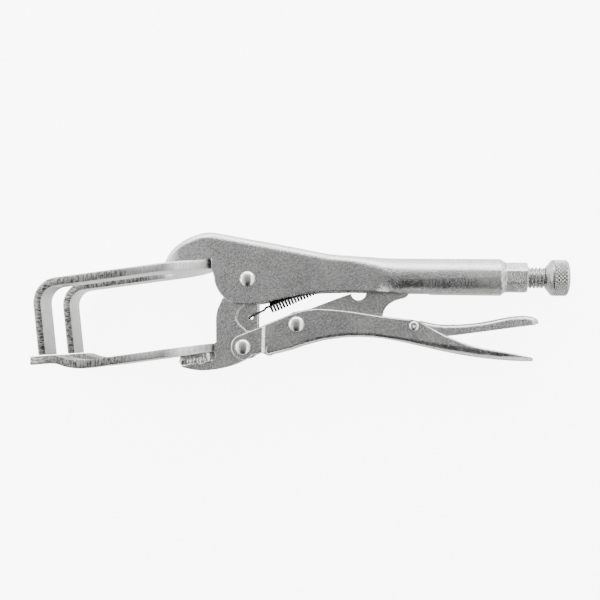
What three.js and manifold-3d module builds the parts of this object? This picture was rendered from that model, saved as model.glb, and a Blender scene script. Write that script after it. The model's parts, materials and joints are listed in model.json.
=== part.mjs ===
// Locking welding clamp pliers with U-shaped jaws, lying on their side.
// The flat of the tool is the XY plane, +X runs from the jaws to the adjusting
// knob, +Y from the lower handle to the upper handle, and +Z is the thickness.
// The pieces are drawn round the jaw pivot; the last group moves the origin to
// the middle of the underside.  Millimetres.
import * as THREE from 'three';
import { mergeVertices } from 'three/addons/utils/BufferGeometryUtils.js';
import Module from 'manifold-3d';

const wasm = await Module();
wasm.setup();

// ---- driving dimensions ---------------------------------------------------
const GAP = 0.3;               // clearance between pieces that touch or slide
const SEAT_GAP = 0.1;          // clearance under a seated rivet head
const SIDE_GAP = 0.4;          // side clearance between nested sheets that turn past each other
const THROUGH = 12;            // half length of a cut that goes right through the tool

// linkage: pivot centres with the jaws closed
const JAW_PIVOT = [0, 0];
const HANDLE_PIVOT = [-1.5, -30.3];
const LINK_PIVOT = [22.5, -19.8];
const RELEASE_PIVOT = [73.6, -19.7];
const LINK_END = [70, 2.1];    // where the toggle link bears on the screw

// fork jaws
const FORK_WIDTH = 42;
const FORK_REACH = 94;         // pivot to the tips of the lower fork
const TINE_WIDTH = 11.5;
const FORK_THICK = 3.8;
const FORK_SLOPE = 8 * Math.PI / 180;
const UPPER_FORK_END = [-17.2, 8.46];    // top edge of the closed end
const UPPER_SLOT_END = -35;
const TINE_CORNER_X = -FORK_REACH - 1.1; // where plate and tine faces would meet
const TINE_CORNER = [
  TINE_CORNER_X,
  UPPER_FORK_END[1] + Math.tan(FORK_SLOPE) * (TINE_CORNER_X - UPPER_FORK_END[0]),
];
const TINE_BEND_RADIUS = 11;
const LOWER_FORK_END = [-15.2, -28.9];
const LOWER_SLOT_END = -33;
const LOWER_FORK_SLOPE = 8.8 * Math.PI / 180;
const LOWER_JOGGLE_X = 28 - FORK_REACH;  // where the tines start to bend up to the pads
const LOWER_JOGGLE_Y = LOWER_FORK_END[1] + Math.tan(LOWER_FORK_SLOPE) * (LOWER_JOGGLE_X - LOWER_FORK_END[0]);
const PAD_LENGTH = 9.3;
const PAD_RISE = 1.46;         // the pads' inner ends stand above the joggle's start
const PAD_SLOPE = 5.6 * Math.PI / 180;

// upper handle
const HUMP_TOP = 21.3;         // highest point of the web
const CHEEK_HALF = 7;          // half width over the cheeks at the nose
const SHEET = 2;
const SHOULDER = 3.6;          // radius where the web turns into the cheeks
const BARREL_RADIUS = 8.1;
const BARREL_START = 71;
const BARREL_END = 110.6;
const NECK_END = 121.8;
const NECK_ACROSS = 12.8;
const AXIS_Y = 2.1;            // height of the screw axis

// lower jaw plates
const JAW_PLATE = 2.5;
const JAW_HALF = CHEEK_HALF - SHEET - SIDE_GAP;
const TAB_SHIFT = JAW_HALF - JAW_PLATE - SIDE_GAP; // how far the spring tab is pressed inwards
const JAW_BOTTOM = -41.3;
const SPRING_HOLE = [1, -16.9];
const SPRING_HOLE_RADIUS = 1.15;

// lower handle
const LOWER_SHEET = 1.8;
const EAR_HALF = JAW_HALF + LOWER_SHEET + SIDE_GAP;
const EAR_RADIUS = 5.6;
const CHANNEL_HALF = 8;
const JOGGLE = [6.8, 8.8];     // where the ears widen into the channel

// toggle link and release lever
const LINK_THICK = 3;
const LINK_EYE = 6;
const LINK_END_RADIUS = 2.6;
const SCREW_CLEARANCE = 2.2;   // room left at the opened linkage joint
const LEVER_SHEET = 1.5;
const LEVER_HALF = CHANNEL_HALF - LOWER_SHEET - 0.5;
const SPACER_RADIUS = 4.6;

// rivets
const RIVET_RADIUS = 3;
const RIVET_HEAD = RIVET_RADIUS + 0.4;
const RIVET_DOME = 1.7;
const SMALL_RIVET_RADIUS = 1.6;
const SMALL_RIVET_HEAD = SMALL_RIVET_RADIUS + 0.5;
const SMALL_RIVET_DOME = 0.9;
const SMALL_RIVET_DIMPLE = 0.9;
const HEAD_RIM = 0.35;         // straight rim under a head's dome

// adjusting screw
const THREAD_RADIUS = 4.7;
const THREAD_PITCH = 1.6;
const THREAD_DEPTH = 0.7;
const KNOB_START = 129.6;
const KNOB_RADIUS = 7.8;
const KNOB_END = 138.9;
const NOSE_RADIUS = 3.6;
const NOSE_LENGTH = 5;

// return spring
const SPRING_RADIUS = 2.3;
const WIRE_RADIUS = 0.35;
const SPRING_TAB_X = 40;
const SPRING_TAB_Y = 1.2;

// ---- helpers --------------------------------------------------------------
const ROUND = 24;

function solid(geometry) {
  const bare = geometry.clone();
  bare.deleteAttribute('normal');
  bare.deleteAttribute('uv');
  const merged = mergeVertices(bare, 1e-4);
  const vertProperties = new Float32Array(merged.attributes.position.array);
  const triVerts = new Uint32Array(merged.index.array);
  return new wasm.Manifold(new wasm.Mesh({ numProp: 3, vertProperties, triVerts }));
}

function geometryOf(manifold) {
  const mesh = manifold.getMesh();
  const geometry = new THREE.BufferGeometry();
  const places = new Float32Array(mesh.vertProperties);
  geometry.setAttribute('position', new THREE.BufferAttribute(places, 3));
  geometry.setIndex(new THREE.BufferAttribute(new Uint32Array(mesh.triVerts), 1));
  return geometry;
}

function union(...parts) {
  return parts.reduce((sum, part) => sum.add(part));
}

// a closed outline through straight points
function outline(points) {
  return new THREE.Shape(points.map(([x, y]) => new THREE.Vector2(x, y)));
}

// a flat plate of a shape in XY, from z0 to z1
function plate(shape, z0, z1, curveSegments = 10) {
  const options = { depth: z1 - z0, bevelEnabled: false, curveSegments };
  const geometry = new THREE.ExtrudeGeometry(shape, options);
  geometry.translate(0, 0, z0);
  return solid(geometry);
}

// a plan shape drawn in X and Z, extruded through Y from y0 to y1
function planPlate(shape, y0, y1) {
  const options = { depth: y1 - y0, bevelEnabled: false, curveSegments: 18 };
  const geometry = new THREE.ExtrudeGeometry(shape, options);
  geometry.rotateX(Math.PI / 2);
  geometry.translate(0, y1, 0);
  return solid(geometry);
}

function block(x0, x1, y0, y1, z0, z1) {
  const geometry = new THREE.BoxGeometry(x1 - x0, y1 - y0, z1 - z0);
  geometry.translate((x0 + x1) / 2, (y0 + y1) / 2, (z0 + z1) / 2);
  return solid(geometry);
}

function pin([x, y], radius, z0, z1, segments = ROUND) {
  const geometry = new THREE.CylinderGeometry(radius, radius, z1 - z0, segments);
  geometry.rotateX(Math.PI / 2);
  geometry.translate(x, y, (z0 + z1) / 2);
  return solid(geometry);
}

// a body turned about the screw axis, from [x, radius] points
function turned(profile, segments = ROUND) {
  const points = profile.map(([x, radius]) => new THREE.Vector2(radius, x));
  const geometry = new THREE.LatheGeometry(points, segments);
  geometry.rotateZ(-Math.PI / 2);
  geometry.translate(0, AXIS_Y, 0);
  return solid(geometry);
}

// points along a smooth curve through [x, y] points
function smooth(points, divisions) {
  const curve = new THREE.SplineCurve(points.map(([x, y]) => new THREE.Vector2(x, y)));
  return curve.getPoints(divisions).map((p) => [p.x, p.y]);
}

// height of a polyline at x
function heightAt(line, x) {
  for (let i = 1; i < line.length; i += 1) {
    const [x0, y0] = line[i - 1];
    const [x1, y1] = line[i];
    if (x <= x1) return y0 + (y1 - y0) * Math.max(0, (x - x0) / (x1 - x0));
  }
  return line[line.length - 1][1];
}

function ease(x, from, to) {
  return THREE.MathUtils.smoothstep(x, from, to);
}

// a channel skinned over rings of [x, y, z] points; each ring is a closed loop
// that runs out along the outer face and back along the inner face
function skin(rings) {
  const count = rings[0].length;
  const positions = rings.flat(2);
  const index = [];
  for (let r = 1; r < rings.length; r += 1) {
    for (let i = 0; i < count; i += 1) {
      const a = (r - 1) * count + i;
      const b = (r - 1) * count + (i + 1) % count;
      index.push(a, b, a + count, b, b + count, a + count);
    }
  }
  const last = (rings.length - 1) * count;
  for (let k = 0; k < count / 2 - 1; k += 1) {
    const [a, b, c, d] = [k, k + 1, count - 2 - k, count - 1 - k];
    index.push(a, c, b, a, d, c);
    index.push(last + a, last + b, last + c, last + a, last + c, last + d);
  }
  const geometry = new THREE.BufferGeometry();
  geometry.setAttribute('position', new THREE.Float32BufferAttribute(positions, 3));
  geometry.setIndex(index);
  return solid(geometry);
}

// one wall of a channel section: foot, side, shoulder and half the web.
// roundness 0 is a straight side, 1 curls the side into a quarter circle.
function halfSection(half, web, foot, shoulder, roundness, sideSteps) {
  const SHOULDER_STEPS = 5;
  const turn = Math.sign(web - foot);
  const springLine = web - turn * shoulder;
  const points = [];
  for (let i = 0; i <= sideSteps; i += 1) {
    const share = i / sideSteps;
    const angle = (share - 1) * (Math.PI / 2) * 0.97;
    const straight = [half, foot + (springLine - foot) * share];
    const curled = [half * Math.cos(angle), springLine + turn * half * Math.sin(angle)];
    points.push([0, 1].map((k) => straight[k] + (curled[k] - straight[k]) * roundness));
  }
  for (let i = 1; i <= SHOULDER_STEPS; i += 1) {
    const angle = (i / SHOULDER_STEPS) * Math.PI / 2;
    points.push([half - shoulder * (1 - Math.cos(angle)), springLine + turn * shoulder * Math.sin(angle)]);
  }
  return points;
}

// the closed ring of a channel section at x, with its sheet thickness
function channelRing(x, section) {
  const { half, web, foot, shoulder, sheet, webSheet, roundness = 0, sideSteps = 1 } = section;
  const turn = Math.sign(web - foot);
  const outer = halfSection(half, web, foot, shoulder, roundness, sideSteps);
  const innerShoulder = Math.max(0.4, shoulder - sheet);
  const inner = halfSection(half - sheet, web - turn * webSheet, foot, innerShoulder, roundness, sideSteps);
  const right = outer.map(([z, y]) => [x, y, z]);
  const left = outer.map(([z, y]) => [x, y, -z]).reverse();
  const innerLeft = inner.map(([z, y]) => [x, y, -z]);
  const innerRight = inner.map(([z, y]) => [x, y, z]).reverse();
  const ring = [...right, ...left, ...innerLeft, ...innerRight];
  return turn > 0 ? ring.reverse() : ring;
}

function named(name, manifold, color, roughness = 0.35, metalness = 0.9) {
  const material = new THREE.MeshStandardMaterial({ color, roughness, metalness });
  const mesh = new THREE.Mesh(geometryOf(manifold), material);
  mesh.name = name;
  return mesh;
}

// ---- fork jaws ------------------------------------------------------------
// the flat U of a fork seen from above, from beyond the tips to the closed end
function forkPlan(closedEnd, slotEnd, tipX) {
  const half = FORK_WIDTH / 2;
  const slotHalf = half - TINE_WIDTH;
  const outerCentre = closedEnd - half;
  const slotCentre = slotEnd - slotHalf;
  const shape = new THREE.Shape();
  shape.moveTo(tipX, -half);
  shape.lineTo(outerCentre, -half);
  shape.absarc(outerCentre, 0, half, -Math.PI / 2, Math.PI / 2, false);
  shape.lineTo(tipX, half);
  shape.lineTo(tipX, slotHalf);
  shape.lineTo(slotCentre, slotHalf);
  shape.absarc(slotCentre, 0, slotHalf, Math.PI / 2, -Math.PI / 2, true);
  shape.lineTo(tipX, -slotHalf);
  return shape;
}

// height of the top of the lower fork's flat tips
function padTop(x) {
  return LOWER_JOGGLE_Y + PAD_RISE + Math.tan(PAD_SLOPE) * (x + FORK_REACH - PAD_LENGTH);
}

function upperForkJaw() {
  const along = [-Math.cos(FORK_SLOPE), -Math.sin(FORK_SLOPE)];
  const down = [Math.sin(FORK_SLOPE), -Math.cos(FORK_SLOPE)];
  const at = (a, d) => [
    TINE_CORNER[0] - along[0] * a + down[0] * d,
    TINE_CORNER[1] - along[1] * a + down[1] * d,
  ];
  const TINE_LENGTH = 50;      // more than needed: the tips are trimmed below
  const PLATE_LENGTH = FORK_REACH - 4;
  const BEND_STEPS = 10;
  const outer = [];
  const inner = [];
  for (let i = 0; i <= BEND_STEPS; i += 1) {
    const angle = (i / BEND_STEPS) * Math.PI / 2;
    const r = TINE_BEND_RADIUS;
    outer.push(at(r - r * Math.sin(angle), r - r * Math.cos(angle)));
    const q = TINE_BEND_RADIUS - FORK_THICK;
    inner.push(at(r - q * Math.sin(angle), r - q * Math.cos(angle)));
  }
  const side = outline([
    at(PLATE_LENGTH, 0), ...outer, at(0, TINE_LENGTH),
    at(FORK_THICK, TINE_LENGTH), ...inner.reverse(), at(PLATE_LENGTH, FORK_THICK),
  ]);
  const half = FORK_WIDTH / 2;
  const bent = plate(side, -half, half);
  const beyond = -FORK_REACH - 6;
  const behind = 14 - FORK_REACH;
  const plan = planPlate(forkPlan(UPPER_FORK_END[0], UPPER_SLOT_END, beyond), -60, HUMP_TOP);
  const reach = outline([
    [beyond, padTop(beyond) + GAP], [behind, padTop(behind) + GAP], [-10, -20], [-10, HUMP_TOP],
    [beyond, HUMP_TOP],
  ]);
  return bent.intersect(plan).intersect(plate(reach, -half - 1, half + 1));
}

// top of the lower fork from its tips to its closed end
function lowerForkTop() {
  const [endX, endY] = LOWER_FORK_END;
  const line = (x) => [x, endY + Math.tan(LOWER_FORK_SLOPE) * (x - endX)];
  const padX = PAD_LENGTH - FORK_REACH;
  const bend = (x, rise) => [x - FORK_REACH, LOWER_JOGGLE_Y + rise];
  const joggle = smooth([
    line(LOWER_JOGGLE_X), bend(22.5, -0.44), bend(16.7, 0.06), bend(12.5, 1.26), [padX, padTop(padX)],
  ], 14);
  const beyond = -FORK_REACH - 1;
  return [[beyond, padTop(beyond)], ...joggle.reverse(), line(endX + 2)];
}

function lowerForkJaw() {
  const top = lowerForkTop();
  const bottom = top.map(([x, y]) => [x, y - FORK_THICK / Math.cos(FORK_SLOPE)]);
  const half = FORK_WIDTH / 2;
  const bent = plate(outline([...top, ...bottom.reverse()]), -half, half);
  const plan = forkPlan(LOWER_FORK_END[0], LOWER_SLOT_END, -FORK_REACH);
  return bent.intersect(planPlate(plan, -60, 0));
}

// ---- upper handle ---------------------------------------------------------
const UPPER_TOP = [
  [-39.6, 5.2], [-38.6, 8.6], [-36.4, 12.6], [-31.9, 16.6], [-27.3, 19.1], [-22.7, 20.7],
  [-18.6, HUMP_TOP], [-13.4, 20.7], [0.4, 18.1], [9.1, 16.7], [23.1, 14.1], [29.8, 12.8],
  [37.9, 11.4], [53.7, AXIS_Y + BARREL_RADIUS + 0.3], [62, AXIS_Y + BARREL_RADIUS],
];

function upperTop(x) {
  if (x >= UPPER_TOP[UPPER_TOP.length - 1][0]) return AXIS_Y + BARREL_RADIUS;
  return heightAt(smooth(UPPER_TOP, 80), x);
}

// side view of the cheeks: nose, seat for the fork, rounded chin and long lower edge
function upperSide() {
  const slope = Math.tan(FORK_SLOPE);
  const [endX, endY] = UPPER_FORK_END;
  const seat = (x) => [x, endY + GAP + slope * (x - endX)];
  const chin = smooth([
    [-16.9, 4.4], [-15.6, 1.5], [-14.9, -2.1], [-13.4, -5.2], [-11.1, -8.1], [-7.8, -10.4],
    [-2.9, -11.3], [4.8, -10.8], [17.3, -8.2], [23.9, -6.6], [29.2, -5.8], [37.1, -5.3],
  ], 28);
  return outline([
    seat(-41), [-41, HUMP_TOP + 5], [NECK_END + 5, HUMP_TOP + 5], [NECK_END + 5, -THROUGH],
    [BARREL_START, -THROUGH],
    [BARREL_START - 1, AXIS_Y - BARREL_RADIUS], [67.4, -5.6], [63, -5.1], [45.8, -5.1],
    ...chin.reverse(), seat(endX + GAP),
  ]);
}

function upperHandle() {
  const stations = [-39.5, -39.2, -38.8, -38.2, -37.3, -36.2, -34.8, -33, -31, -28.5, -26, -23.5, -21,
    -18.5, -16, -13, -9, -4, 1, 6, 12, 18, 24, 30, 36, 41, 46, 51, 56, 60, 64, 67.5, BARREL_START,
    BARREL_END];
  const rings = stations.map((x) => {
    const web = upperTop(x);
    const rise = (upperTop(x + 0.4) - upperTop(x - 0.4)) / 0.8;
    const noseTaper = 1.2 * (1 - ease(x, -42, -30));
    const half = CHEEK_HALF + (BARREL_RADIUS - CHEEK_HALF) * ease(x, 30, 62) - noseTaper;
    const roundness = ease(x, 56, BARREL_START);
    const shoulder = SHOULDER + (half - SHOULDER - 0.01) * ease(x, 44, 68);
    return channelRing(x, {
      half,
      web,
      foot: -12.5 + 7 * ease(x, 28, 44),
      shoulder,
      sheet: SHEET,
      webSheet: SHEET * Math.min(2.2, Math.hypot(1, rise)),
      roundness,
      sideSteps: 6,
    });
  });
  const shell = skin(rings).intersect(plate(upperSide(), -THROUGH, THROUGH));
  const neckRadius = NECK_ACROSS / 2 / Math.cos(Math.PI / 8);
  const collar = turned([
    [BARREL_END - 5, 0], [BARREL_END - 5, BARREL_RADIUS - 0.6], [BARREL_END, BARREL_RADIUS],
    [BARREL_END + 1.8, NECK_ACROSS / 2 + 0.2], [BARREL_END + 1.8, 0],
  ]);
  const neckGeometry = new THREE.CylinderGeometry(neckRadius, neckRadius, NECK_END - BARREL_END + 2, 8);
  neckGeometry.rotateY(Math.PI / 8);
  neckGeometry.rotateZ(Math.PI / 2);
  neckGeometry.translate((NECK_END + BARREL_END - 2) / 2, AXIS_Y, 0);
  const boreRadius = THREAD_RADIUS + GAP;
  const bore = turned([
    [BARREL_START, 0], [BARREL_START, boreRadius], [NECK_END + 1, boreRadius], [NECK_END + 1, 0],
  ]);
  const slotHalf = LINK_THICK / 2 + 1;
  const linkSlot = block(BARREL_START - 8, BARREL_START + 9, -THROUGH, AXIS_Y, -slotHalf, slotHalf);
  return union(shell, collar, solid(neckGeometry), springAnchor())
    .subtract(bore)
    .subtract(linkSlot)
    .subtract(pin(JAW_PIVOT, RIVET_RADIUS + SEAT_GAP, -THROUGH, THROUGH));
}

// the tab inside the web that the spring's rear loop holds on to
function springAnchor() {
  const [thick, drop, half, eyeHalf] = [1.6, 1.4, 3, 1];
  const back = SPRING_TAB_X + thick;
  const foot = SPRING_TAB_Y - drop;
  const root = AXIS_Y + BARREL_RADIUS - 0.2;
  const tab = block(SPRING_TAB_X, back, foot, root, -half, half);
  return tab.subtract(block(SPRING_TAB_X - 1, back + 1, foot + 0.8, SPRING_TAB_Y + 1, -eyeHalf, eyeHalf));
}

// weld metal inside the hollow nose, over the closed end of the upper fork
function upperJawWeld() {
  const slope = Math.tan(FORK_SLOPE);
  const [endX, endY] = UPPER_FORK_END;
  const seat = (x) => endY + GAP + slope * (x - endX);
  const half = CHEEK_HALF - SHEET - GAP - 0.6;
  const side = outline([
    [-33, seat(-33)], [-31.5, seat(-31.5) + 2.4], [-26, seat(-26) + 3.1], [-21, seat(-21) + 2.5],
    [-19, seat(-19)],
  ]);
  return plate(side, -half, half);
}

// ---- lower jaw ------------------------------------------------------------
// height of the lower fork's underside at x
function lowerForkUnder(x) {
  return heightAt(lowerForkTop(), x) - FORK_THICK / Math.cos(FORK_SLOPE);
}

// side view of a jaw plate: pivot boss, arm, notch for the fork and curved nose
function jawPlateSide() {
  const BOSS = 8.4;
  const shape = new THREE.Shape();
  shape.moveTo(5.6, -6.3);
  shape.absarc(0, 0, BOSS, -0.84, Math.PI + 0.75, false);
  shape.lineTo(-11.8, -8.6);
  shape.lineTo(-13.8, -13.1);
  shape.quadraticCurveTo(-14.6, -15.6, -14.6, -18.5);
  const [endX, endY] = LOWER_FORK_END;
  const under = lowerForkUnder(endX) - GAP;
  shape.lineTo(-14.3, endY + GAP);
  shape.lineTo(endX + GAP, endY + GAP);
  shape.lineTo(endX + GAP, under);
  shape.quadraticCurveTo(-13.4, -36.6, -16.6, -37.1);
  shape.quadraticCurveTo(-23.5, -38.1, -30.6, -39.7);
  shape.quadraticCurveTo(-25.5, JAW_BOTTOM, -20.5, JAW_BOTTOM);
  shape.quadraticCurveTo(-10.5, -41, -2.6, -36.6);
  shape.quadraticCurveTo(3.4, -33.4, 4.1, -27.5);
  shape.lineTo(4.1, -10.2);
  shape.closePath();
  return shape;
}

// the pressed-in tab that holds the spring, as a region of the plate
function springTabShape() {
  const shape = new THREE.Shape();
  shape.moveTo(4.1, -10.6);
  shape.lineTo(-1.2, -10.9);
  shape.lineTo(-3.9, -13.4);
  shape.quadraticCurveTo(-5.7, -15.6, -5.5, -18.4);
  shape.lineTo(-3.7, -20.6);
  shape.lineTo(-0.7, -23.2);
  shape.lineTo(4.1, -23.2);
  shape.closePath();
  return shape;
}

function jawPlate(side) {
  const z = (from, to) => (side > 0 ? [from, to] : [-to, -from]);
  const inside = JAW_HALF - JAW_PLATE;
  const flat = plate(jawPlateSide(), ...z(inside, JAW_HALF), 12);
  const tab = plate(springTabShape(), ...z(inside - TAB_SHIFT, JAW_HALF - TAB_SHIFT));
  const recess = plate(springTabShape(), ...z(JAW_HALF - TAB_SHIFT, JAW_HALF + 1));
  return flat
    .subtract(recess)
    .add(tab)
    .subtract(pin(JAW_PIVOT, RIVET_RADIUS + GAP, -THROUGH, THROUGH))
    .subtract(pin(HANDLE_PIVOT, RIVET_RADIUS + SEAT_GAP, -THROUGH, THROUGH))
    .subtract(pin(SPRING_HOLE, SPRING_HOLE_RADIUS, -THROUGH, THROUGH, 16));
}

// weld bead between the lower fork's underside and the outside of a jaw plate
function lowerJawWeld(side) {
  const LUMP = 1.5;
  const beads = [-27.6, -24.8, -22, -19.2].map((x, i) => {
    const geometry = new THREE.SphereGeometry(1, 10, 7);
    geometry.scale(1.4 * LUMP, LUMP + 0.12 * (i % 2), LUMP);
    const drop = LUMP + 0.4 - 0.1 * i;
    geometry.translate(x, lowerForkUnder(x) - GAP - drop, side * (JAW_HALF + GAP + LUMP));
    return solid(geometry);
  });
  return union(...beads);
}

// ---- lower handle ---------------------------------------------------------
const LOWER_WEB = [
  [-10, -40], [8.6, -40], [9.3, -33.9], [15.5, -32.3], [19.9, -31.1], [24.3, -29.4], [28.7, -28.1],
  [33.1, -26.9], [41.8, -25.4], [50.5, -24.9], [59.1, -25.3], [67.7, -26.6], [76.2, -28.4],
  [88.9, -31], [99, -32.6], [109.8, -33.6], [118, -34], [126, -33.9],
];

function lowerSide() {
  const rim = smooth([
    [0.6, -23.4], [5.5, -21.4], [10.8, -19.1], [15.2, -17.2], [19.6, -15.4], [24, -13.9], [28.4, -13.1],
    [32.8, -12.8], [41.6, -13.3], [50.3, -14.3], [59.8, -15.7], [67.6, -16.5], [74.8, -17.4], [80.4, -20.1],
    [84.6, -22.4], [88.9, -24.3], [93.1, -26], [97.3, -27.4], [101.5, -28.5], [109.8, -29.8], [118, -31.2],
    [125, -32.6],
  ], 44);
  const shape = new THREE.Shape();
  const [bx, by] = HANDLE_PIVOT;
  shape.moveTo(rim[0][0], rim[0][1]);
  for (const [x, y] of rim) shape.lineTo(x, y);
  shape.lineTo(127, -45);
  shape.lineTo(9.5, -45);
  shape.lineTo(9.5, -33.8);
  shape.quadraticCurveTo(6.2, -31.9, 3.6, -33.7);
  shape.absarc(bx, by, EAR_RADIUS, -0.62, -4.38, true);
  shape.closePath();
  return shape;
}

function lowerHandle() {
  const stations = [-8, 3, JOGGLE[0], 7.5, 8.1, JOGGLE[1], 9.4, 12, 15.5, 19.9, 24.3, 28.7, 33.1, 37.5,
    41.8, 46, 50.5, 55, 59.1, 63.5, 67.7, 72, 76.2, 80.5, 84.7, 89, 94, 99, 104, 110, 115, 120, 126];
  const webLine = smooth(LOWER_WEB.slice(2), 90);
  const rings = stations.map((x) => {
    const web = x < LOWER_WEB[2][0] ? LOWER_WEB[0][1] : heightAt(webLine, x);
    const half = EAR_HALF + (CHANNEL_HALF - EAR_HALF) * ease(x, ...JOGGLE);
    return channelRing(x, {
      half,
      web,
      foot: -10 - 12 * ease(x, 70, 110),
      shoulder: 2.2 + 2.6 * ease(x, 60, 105),
      sheet: LOWER_SHEET,
      webSheet: LOWER_SHEET,
    });
  });
  const END_RADIUS = 7;
  const tip = 124.6;
  const plan = new THREE.Shape();
  plan.moveTo(-12, -CHANNEL_HALF - 1);
  plan.lineTo(tip - END_RADIUS, -CHANNEL_HALF - 1);
  plan.absellipse(tip - END_RADIUS, 0, END_RADIUS, CHANNEL_HALF + 1, -Math.PI / 2, Math.PI / 2, false, 0);
  plan.lineTo(-12, CHANNEL_HALF + 1);
  const small = SMALL_RIVET_RADIUS + SEAT_GAP;
  return skin(rings)
    .intersect(plate(lowerSide(), -THROUGH, THROUGH, 14))
    .intersect(planPlate(plan, -60, 0))
    .subtract(pin(HANDLE_PIVOT, RIVET_RADIUS + GAP, -THROUGH, THROUGH))
    .subtract(pin(LINK_PIVOT, RIVET_RADIUS + SEAT_GAP, -THROUGH, THROUGH))
    .subtract(pin(RELEASE_PIVOT, small, -THROUGH, THROUGH));
}

// ---- toggle link and release lever ----------------------------------------
function toggleLink() {
  const [cx, cy] = LINK_PIVOT;
  const [ex, ey] = LINK_END;
  const shape = new THREE.Shape();
  shape.absarc(cx, cy, LINK_EYE, 2.0, 5.1, false);
  shape.quadraticCurveTo(40, -22.2, 54.5, -19.8);
  shape.quadraticCurveTo(59.6, -18.8, 59.9, -15.7);
  shape.quadraticCurveTo(60.6, -9.2, 68.6, -7.6);
  shape.quadraticCurveTo(71.6, -6.9, 71.8, -3.4);
  shape.lineTo(ex + LINK_END_RADIUS, ey);
  shape.absarc(ex, ey, LINK_END_RADIUS, 0, 2.2, false);
  shape.lineTo(60.5, 0.2);
  shape.lineTo(52.7, -5.1);
  shape.absarc(49.1, -5.2, 3.4, 0.12, -2.98, true);
  shape.lineTo(38.8, -8.3);
  shape.lineTo(27.7, -12.7);
  shape.closePath();
  return plate(shape, -LINK_THICK / 2, LINK_THICK / 2, 12)
    .subtract(pin(LINK_PIVOT, RIVET_RADIUS + GAP, -THROUGH, THROUGH));
}

// distance pieces that keep the link in the middle of the handle
function linkSpacer(side) {
  const inner = LINK_THICK / 2 + GAP;
  const outer = CHANNEL_HALF - LOWER_SHEET - GAP;
  const [z0, z1] = side > 0 ? [inner, outer] : [-outer, -inner];
  return pin(LINK_PIVOT, SPACER_RADIUS, z0, z1)
    .subtract(pin(LINK_PIVOT, RIVET_RADIUS + SEAT_GAP, -THROUGH, THROUGH));
}

const LEVER_TOP = [
  [55.2, -22.9], [56.4, -21.9], [60, -20.9], [66, -18.8], [73.6, -17.4], [78.3, -17.6], [82.6, -18.6],
  [89, -18.8], [97.5, -18.3], [103.8, -17.3], [110.1, -15.9], [114.2, -15], [120.5, -14.5],
  [124.6, -15.2], [127, -16.9],
];

function leverSide() {
  const lower = smooth([
    [127.2, -18.2], [122.6, -18.7], [114.3, -19.9], [105.9, -21.2], [97.5, -22.5], [89.1, -23.7],
    [82, -24.1], [76, -23.9], [66, -23.2], [55, -22.9],
  ], 20);
  return outline([[54, -22.9], [54, -10], [127.2, -10], ...lower]);
}

function releaseLever() {
  const topLine = smooth(LEVER_TOP, 80);
  const stations = [55.3, 55.7, 56.2, 57, 58.5, 61, 64, 67, 70, 73.6, 77, 80, 83, 87, 92, 97, 102, 106,
    110, 114, 117, 120, 122.5, 124.5, 126, 126.9];
  const rings = stations.map((x) => channelRing(x, {
    half: LEVER_HALF,
    web: heightAt(topLine, x),
    foot: -30,
    shoulder: 2,
    sheet: LEVER_SHEET,
    webSheet: LEVER_SHEET,
  }));
  const END_RADIUS = 6;
  const tip = 126.8;
  const plan = new THREE.Shape();
  plan.moveTo(50, -LEVER_HALF - 1);
  plan.lineTo(tip - END_RADIUS, -LEVER_HALF - 1);
  plan.absellipse(tip - END_RADIUS, 0, END_RADIUS, LEVER_HALF + 1, -Math.PI / 2, Math.PI / 2, false, 0);
  plan.lineTo(50, LEVER_HALF + 1);
  return skin(rings)
    .intersect(plate(leverSide(), -THROUGH, THROUGH))
    .intersect(planPlate(plan, -60, 0))
    .subtract(pin(RELEASE_PIVOT, SMALL_RIVET_RADIUS + GAP, -THROUGH, THROUGH));
}

// ---- rivets ---------------------------------------------------------------
// a rivet through both sides, with a domed head at each end; a dimple makes the
// head a ring with a sunk middle
function rivet(centre, halfGrip, { radius, headRadius, dome, dimple = 0 }) {
  const seat = halfGrip + SEAT_GAP;
  const rim = seat + HEAD_RIM;
  const head = [[headRadius, seat], [headRadius, rim]];
  const STEPS = 4;
  for (let i = 1; i <= STEPS; i += 1) {
    const angle = (i / STEPS) * Math.PI / 2;
    head.push([
      dimple + (headRadius - dimple) * Math.cos(angle),
      rim + (dome - HEAD_RIM) * Math.sin(angle),
    ]);
  }
  if (dimple > 0) head.push([dimple * 0.7, seat + 0.2], [0, seat + 0.2]);
  const below = head.map(([r, z]) => [r, -z]).reverse();
  const profile = [...below, [radius, -seat], [radius, seat], ...head];
  const geometry = new THREE.LatheGeometry(profile.map(([r, z]) => new THREE.Vector2(r, z)), ROUND);
  geometry.rotateX(Math.PI / 2);
  geometry.translate(centre[0], centre[1], 0);
  return solid(geometry);
}

const LARGE_RIVET = { radius: RIVET_RADIUS, headRadius: RIVET_HEAD, dome: RIVET_DOME };
const RING_RIVET = {
  radius: SMALL_RIVET_RADIUS,
  headRadius: SMALL_RIVET_HEAD,
  dome: SMALL_RIVET_DOME,
  dimple: SMALL_RIVET_DIMPLE,
};

// ---- adjusting screw ------------------------------------------------------
const NOSE_START = LINK_END[0] + LINK_END_RADIUS + SCREW_CLEARANCE;

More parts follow.
